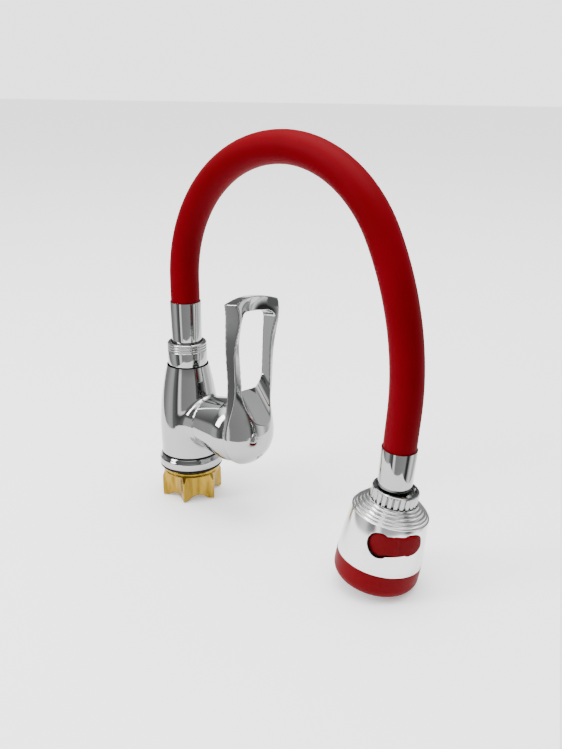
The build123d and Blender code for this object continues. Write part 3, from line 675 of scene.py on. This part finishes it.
# %% Hose sleeve and core
def hose_tube(name, tuck, outer, inner, material, steps):
    """A tube along the hose's line, tucked into both ferrules and closed at its ends."""
    stations = hose_line(tuck)
    verts, faces = [], []
    for reach, height, heading in stations:
        across = np.array((-math.sin(heading), math.cos(heading)))
        for radius in (outer, inner):
            for step in range(steps):
                turn = 2 * math.pi * step / steps
                out, side = radius * math.cos(turn), radius * math.sin(turn)
                x, z = reach + out * across[0], height + out * across[1]
                verts.append((x * MM, side * MM, z * MM))
    last = len(stations) - 1
    for k in range(last):
        for ring_at, flip in ((0, False), (steps, True)):
            low, high = 2 * steps * k + ring_at, 2 * steps * (k + 1) + ring_at
            for i in range(steps):
                j = (i + 1) % steps
                quad = (low + i, high + i, high + j, low + j)
                faces.append(quad[::-1] if flip else quad)
    for k, flip in ((0, True), (last, False)):
        base = 2 * steps * k
        for i in range(steps):
            j = (i + 1) % steps
            quad = (base + i, base + steps + i, base + steps + j, base + j)
            faces.append(quad[::-1] if flip else quad)
    tube = new_piece(name, verts, faces, material, None, Matrix.Rotation(SPOUT_TURN, 4, "Z"))
    smooth(tube, 50.0)
    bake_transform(tube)
    return tube


sleeve = hose_tube(
    "spout_sleeve_silicone", tuck=8.0, outer=11.0, inner=8.2, material=red_silicone, steps=64
)
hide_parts("spout_sleeve")
core = hose_tube("flex_core_wound", tuck=16.0, outer=8.1, inner=5.0, material=steel, steps=40)
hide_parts("flex_core")
print("hose", len(sleeve.data.vertices), "points")


# %% [markdown]
# The outlet and the head lean, each by its own angle, so each has a place: an
# origin and three axes. Outlines there are drawn as if they stood upright.


# %% Places of the outlet and the head
def placed(origin, x_axis, y_axis, z_axis):
    columns = Matrix((x_axis, y_axis, z_axis)).transposed().to_4x4()
    return Matrix.Translation(origin) @ columns


OUTLET = placed(
    origin=(0.198749, -0.012853, 0.071416),
    x_axis=(0.994118, -0.064287, -0.087156),
    y_axis=(0.064532, 0.997916, 0.0),
    z_axis=(0.086974, -0.005624, 0.996195),
)
HEAD_AXIS = (0.156173, 0.080723, 0.984426)
HEAD = placed(
    origin=(0.195183, -0.012622, 0.030572),
    x_axis=(0.986433, -0.06379, -0.151261),
    y_axis=(0.050586, 0.994693, -0.08959),
    z_axis=HEAD_AXIS,
)
BALL_DEPTH = 12.0

outlet_outline = [
    (11.8, 0), (11.5, -30), (6.35, -30), (6.35, -20), (5, -20), (5, -16), (8.15, -16),
    (8.15, -8), (11.05, -8), (11.05, -0.6), (11.3, 0),
]
outlet_ferrule = lathe(
    "outlet_ferrule_polished", outlet_outline, chrome, "spout_upper", OUTLET, round_mm=0.15
)
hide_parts("outlet_ferrule")


def down(points):
    """Outline points given as radius and distance below the union's rim."""
    return [(radius, BALL_DEPTH - s) for radius, s in points]


# %% [markdown]
# The union that holds the ball has upright flutes for a firm grip. They are made
# by pulling the radius in at even steps round the rim, between two heights.

# %% Fluted union
FLUTES = 24
FLUTE_DEPTH = 1.25
FLUTE_SHARPNESS = 5
FLUTED_FROM = 15.5
FLUTE_TOP = 1.4
FLUTE_FOOT = 8.9
STEPS_PER_FLUTE = 14
UNION_RADIUS = 15.8


def fluted(radius, height, turn):
    """Pulls the rim in at the flutes, and leaves every other radius as it is."""
    if radius < FLUTED_FROM or not FLUTE_TOP < BALL_DEPTH - height < FLUTE_FOOT:
        return radius
    wave = 0.5 + 0.5 * math.cos(FLUTES * turn)
    return radius - FLUTE_DEPTH * wave**FLUTE_SHARPNESS


union_outline = [(13.7, 0), (15.2, 0), (15.75, 0.5)]
union_outline += [(UNION_RADIUS, s) for s in (1.3, 1.5, 2.2, 8.0, 8.8, 9.0, 16.6)]
union_outline += [(13.6, 16.6), (13.6, 6), (10.6, 6), (10.6, 4.5), (13.7, 4.5)]
union = lathe(
    "union_nut_fluted", down(union_outline), chrome, "head", HEAD,
    steps=FLUTES * STEPS_PER_FLUTE, radius_at=fluted,
)
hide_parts("union_nut")

# %% [markdown]
# The shell's shoulder is a flight of small polished steps, each with a rounded
# edge. Below it the skirt flares slightly down to the red cup.

# %% Head shell
SHELL_NECK = 16.1
SHOULDER = 26.0
STEP_SHARES = ((0.09, 8.5), (0.29, 10.0), (0.49, 11.5), (0.7, 13.5), (0.85, 15.0), (1.0, 17.0))
STEPS = [(SHELL_NECK + share * (SHOULDER - SHELL_NECK), s) for share, s in STEP_SHARES]
shell_outline = [(SHELL_NECK, 8.5)]
for (radius, start), (_, after) in zip(STEPS[:-1], STEPS[1:]):
    shell_outline += [(radius - 0.35, start), (radius - 0.08, start + 0.1), (radius, start + 0.35)]
    shell_outline += [(radius, after - 0.25), (radius + 0.2, after - 0.03)]
shell_outline += [(25.5, 17.0), (25.85, 17.15), (26.0, 17.6)]
shell_outline += [(26.9, 28.0), (27.9, 39.5), (28.85, 50.6), (28.7, 51.0)]
shell_outline += [(26.65, 51.0), (26.65, 44.0), (24.4, 19.3), (20.6, 17.0), (SHELL_NECK, 17.0)]
shell = lathe("head_shell_polished", down(shell_outline), painted_bright_chrome, None, HEAD, steps=216)

# %% [markdown]
# The window is shaped like a bow tie. In the photograph it leans, and its left
# lobe is the larger one. So an upright outline is drawn first and then leaned,
# and the rocker further down is leaned in the same way. The cut itself takes
# away a solid of the leaned outline.

# %% The outline of the window
ROCKER = placed(
    origin=(0.208354, -0.03033, 0.014189),
    x_axis=(0.686932, -0.725032, -0.049525),
    y_axis=(0.709742, 0.683968, -0.168681),
    z_axis=HEAD_AXIS,
)
WINDOW_END = 7.6
WINDOW_HALF = 11.2
WINDOW_WAIST = 6.1
WINDOW_SHIFT = 0.3
WINDOW_TURN = math.radians(6.0)
WINDOW_SHORTER = 0.95
RIGHT_LOBE_HEIGHT = 0.98
LEFT_LOBE_TALLER = 0.16
WAIST_TALLER = 0.12
FURTHEST_LEFT = 1.2
LOBE_POINTS = 36
CUT_FROM, CUT_TO = -8.0, 12.0


def leaned(y, z):
    """Where a point of the upright window lies in the leaned one."""
    from_right = WINDOW_HALF - y
    leftness = np.clip(from_right / (2 * WINDOW_HALF), 0, FURTHEST_LEFT)
    near_waist = max(0.0, 1 - (y / WINDOW_HALF) ** 2)
    across = -from_right * WINDOW_SHORTER
    up = z * (RIGHT_LOBE_HEIGHT + LEFT_LOBE_TALLER * leftness + WAIST_TALLER * near_waist)
    turned_y = across * math.cos(WINDOW_TURN) - up * math.sin(WINDOW_TURN)
    turned_z = across * math.sin(WINDOW_TURN) + up * math.cos(WINDOW_TURN)
    return WINDOW_HALF + turned_y, turned_z


def bow_tie(end, half, waist):
    """Two round ends joined by a narrower waist, as (across, up) points."""
    cut = math.pi - math.asin(waist / end)
    angles = np.linspace(-cut, cut, LOBE_POINTS)
    right = [(half + end * math.cos(a), end * math.sin(a)) for a in angles]
    left = [(-y, -z) for y, z in right]
    return [(y - WINDOW_SHIFT, z) for y, z in right + left]


# %% Cutting the window
def cut_window(piece):
    outline = [leaned(y, z) for y, z in bow_tie(WINDOW_END, WINDOW_HALF, WINDOW_WAIST)]
    count = len(outline)
    points = [(depth * MM, y * MM, z * MM) for depth in (CUT_FROM, CUT_TO) for y, z in outline]
    faces = [(i, (i + 1) % count, count + (i + 1) % count, count + i) for i in range(count)]
    faces += [tuple(range(count))[::-1], tuple(range(count, 2 * count))]
    cutter = new_piece("window_cutter", points, faces, painted_bright_chrome, None, ROCKER)
    cut = piece.modifiers.new("window", "BOOLEAN")
    cut.operation = "DIFFERENCE"
    cut.object = cutter
    cut.solver = "EXACT"
    final_mesh(piece)
    bpy.data.objects.remove(cutter)
    smooth(piece)


cut_window(shell)
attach(shell, "head")
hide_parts("head_shell")
print("shell", len(shell.data.vertices), "points")

# %% [markdown]
# The red cup screws into the shell. Its lower edge is one round curve, so it is
# spun with many points on the curve.

# %% Spray cup
CUP_START = 44.0
CUP_END = 69.5
CUP_RADIUS = 28.9
CUP_ROUND = 8.5
CUP_MOUTH = CUP_RADIUS - CUP_ROUND - 0.3
CUP_INSIDE = 23.6
CUP_LIP = CUP_END - 1.6
cup_outline = [(26.6, CUP_START), (26.6, 51.05), (28.75, 51.05), (CUP_RADIUS, 51.2)]
for angle in np.linspace(0, math.pi / 2, 16):
    reach = CUP_RADIUS - CUP_ROUND * (1 - math.cos(angle))
    cup_outline.append((reach, CUP_END - CUP_ROUND + CUP_ROUND * math.sin(angle)))
cup_outline += [(CUP_MOUTH, CUP_END), (CUP_MOUTH, CUP_LIP), (CUP_INSIDE, CUP_LIP)]
cup_outline += [(CUP_INSIDE, CUP_START)]
cup = lathe("spray_cup_smooth", down(cup_outline), red_plastic, "head", HEAD, steps=200)
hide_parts("spray_cup")

# %% [markdown]
# The rocker's face follows the shell's curve, with a low ridge in the middle.
# Its copy is softened like the handle, and its plate is then leaned like the
# window. The hub and fork behind the plate stay where the frame has them. The
# back of the left end is drawn in, so that it clears the window when it tips.

# %% Rocker
FACE_RADIUS = 27.9
FACE_ABOVE_PIVOT = 4.8
REST_TILT = Matrix.Rotation(math.radians(5.0), 3, "Z")
RIDGE_HALF = 4
RIDGE_LEFT = 0.3
PLATE_DEPTH = 5.3
PLATE_BLEND = 1.5
LEFT_END = -12.0
LEFT_END_BLEND = 3.0
BACK_DRAFT = 0.13


def share_of(amount, whole):
    return min(1.0, max(0.0, amount / whole))


def lower_ridge(point):
    """The point with the ridge at a third of its height, and its depth below the face."""
    flat = REST_TILT @ point
    face = math.sqrt(FACE_RADIUS**2 - flat.y**2) - FACE_RADIUS + FACE_ABOVE_PIVOT
    if abs(flat.y) < RIDGE_HALF and flat.x > face:
        flat.x = face + RIDGE_LEFT * (flat.x - face)
    return REST_TILT.inverted() @ flat, face - flat.x


rocker = relaxed_copy(
    "mode_rocker", "mode_rocker_moulded", red_plastic, "rocker", voxel=0.3, rounds=10
)
into_window = ROCKER.inverted()
for vertex in rocker.data.vertices:
    (out, across, up), depth = lower_ridge((into_window @ vertex.co) / MM)
    new_across, new_up = leaned(across, up)
    at_left_end = share_of(LEFT_END - new_across, LEFT_END_BLEND)
    new_across += BACK_DRAFT * at_left_end * max(0.0, depth)
    in_plate = share_of(PLATE_DEPTH - depth, PLATE_BLEND)
    across += in_plate * (new_across - across)
    up += in_plate * (new_up - up)
    vertex.co = ROCKER @ (Vector((out, across, up)) * MM)
rocker.data.update()

# %% [markdown]
# The tap stands on the points of its nut and on the rim of its head, which hangs
# a little lower, so the pale table slopes forward under it by about one degree.
# The sheet is a little wider than the picture, and longer towards the camera.
# Past its edges the chrome mirrors the room below the horizon instead.

# %% Table
NUT_FOOT = -0.0261
TABLE_MIDDLE_X = -0.024
TABLE_SLOPE = 1.0
SHEET_FRONT = 0.300
SHEET_MIDDLE = 0.073
SHEET_HALF = 0.160
SHEET_SPREAD = 0.3176
FAR = 9.0


def table_finish():
    finish = Finish("pale_table", roughness=0.6, specular=0.2)
    clouds = finish.noise(6.0, 2.0)
    grain = finish.noise(400.0, 2.0)
    pale = finish.colours(clouds, (0.3, shade(0.88)), (0.7, shade(0.90)))
    finish.set(Base_Color=pale, Normal=finish.bump(grain, 0.00002, 0.3))
    finish.shader.inputs["Emission Color"].default_value = shade(1.0)
    finish.shader.inputs["Emission Strength"].default_value = 0.4
    return finish.material


def table_sheet():
    """A sheet that widens with distance, as the picture does."""
    heading = math.radians(CAMERA_HEADING)
    back = Vector((-math.sin(heading), math.cos(heading), 0))
    side = Vector((back.y, -back.x, 0))
    far_half = SHEET_HALF + SHEET_SPREAD * (FAR + SHEET_FRONT)
    corners = [
        (-SHEET_FRONT, SHEET_MIDDLE - SHEET_HALF),
        (-SHEET_FRONT, SHEET_MIDDLE + SHEET_HALF),
        (FAR, SHEET_MIDDLE + far_half),
        (FAR, SHEET_MIDDLE - far_half),
    ]
    points = [back * reach + side * across for reach, across in corners]
    mesh = bpy.data.meshes.new("table")
    mesh.from_pydata([tuple(p) for p in points], [], [(0, 1, 2, 3)])
    mesh.materials.append(table_finish())
    sheet = bpy.data.objects.new("table", mesh)
    bpy.context.scene.collection.objects.link(sheet)
    sheet.location = (TABLE_MIDDLE_X, 0, NUT_FOOT)
    sheet.rotation_euler = (0, math.radians(TABLE_SLOPE), 0)
    return sheet


table = table_sheet()
print("table", table.name)

# %% [markdown]
# Chrome shows the room, so the room matters as much as the metal. Up to the
# horizon and just above it the world has upright strips, bright and dark, which
# draw the long streaks on the column. Higher up the walls are dark, and the
# ceiling is bright. Each is a ramp over the direction of the light.

# %% World light
STRIPS = (
    (0.0, 0.20), (0.05, 0.22), (0.13, 0.46), (0.165, 0.40), (0.18, 0.15), (0.20, 0.12),
    (0.222, 0.06), (0.235, 0.08), (0.25, 1.0), (0.268, 1.0), (0.285, 0.24), (0.42, 0.28),
    (0.455, 0.30), (0.475, 0.05), (0.505, 0.02), (0.525, 0.20), (0.56, 0.80), (0.59, 1.0),
    (0.62, 0.50), (0.65, 0.45), (0.69, 0.85), (0.76, 0.80), (0.80, 1.08), (0.91, 1.08),
    (0.94, 0.30), (1.0, 0.20),
)
WALLS = (
    (0.0, 0.40), (0.08, 0.10), (0.20, 0.08), (0.27, 0.14), (0.40, 0.14), (0.46, 0.10),
    (0.60, 0.12), (0.66, 0.50), (0.73, 0.20), (0.80, 0.10), (0.92, 0.12), (1.0, 0.40),
)
WALL_START = ((0.0, 0.0), (0.55, 0.0), (0.60, 1.0), (1.0, 1.0))
CEILING_START = ((0.0, 0.0), (0.81, 0.0), (0.91, 1.0), (1.0, 1.0))
CEILING = 1.45
WORLD_STRENGTH = 2.4

world = bpy.data.worlds.new("tent")
bpy.context.scene.world = world
world.use_nodes = True
background = world.node_tree.nodes["Background"]


def world_node(kind, settings=None, inputs=None):
    return add_node(world.node_tree, kind, settings, inputs).outputs


def world_math(operation, *values):
    return world_node("ShaderNodeMath", {"operation": operation}, dict(enumerate(values)))["Value"]


def world_ramp(amount, stops):
    stops = [(at, shade(level)) for at, level in stops]
    return world_node("ShaderNodeValToRGB", {"stops": stops}, {"Fac": amount})["Color"]


def world_mix(factor, first, second):
    inputs = {"Factor": factor, "A": first, "B": second}
    return world_node("ShaderNodeMix", {"data_type": "RGBA"}, inputs)["Result"]


direction = world_node("ShaderNodeTexCoord")["Generated"]
along = world_node("ShaderNodeSeparateXYZ", None, {"Vector": direction})
azimuth = world_math("ARCTAN2", along["Y"], along["X"])
turn_share = world_math("MULTIPLY_ADD", azimuth, 1 / (2 * math.pi), 0.5)
height_share = world_math("MULTIPLY_ADD", along["Z"], 0.5, 0.5)
strips = world_ramp(turn_share, STRIPS)
walls = world_ramp(turn_share, WALLS)
room = world_mix(world_ramp(height_share, WALL_START), strips, walls)
tent = world_mix(world_ramp(height_share, CEILING_START), room, shade(CEILING))
feed(world.node_tree, background.inputs["Color"], tent)
background.inputs["Strength"].default_value = WORLD_STRENGTH
print("world", world.name)


# %% Lamps
def lamp(name, place, target, size, power):
    data = bpy.data.lights.new(name, "AREA")
    data.shape = "RECTANGLE"
    data.size = size[0]
    data.size_y = size[1]
    data.energy = power
    made = bpy.data.objects.new(name, data)
    bpy.context.scene.collection.objects.link(made)
    made.location = place
    aim = Vector(target) - Vector(place)
    made.rotation_euler = aim.to_track_quat("-Z", "Y").to_euler()


lamp("soft_box_above", place=(0.0, 0.1, 2.2), target=(0.1, 0, 0.1), size=(1.6, 1.6), power=50.0)
lamp("soft_box_left", place=(-0.5, -0.9, 0.8), target=(0.05, 0, 0.1), size=(0.4, 0.9), power=16.0)
print("lamps", len(bpy.data.lights))
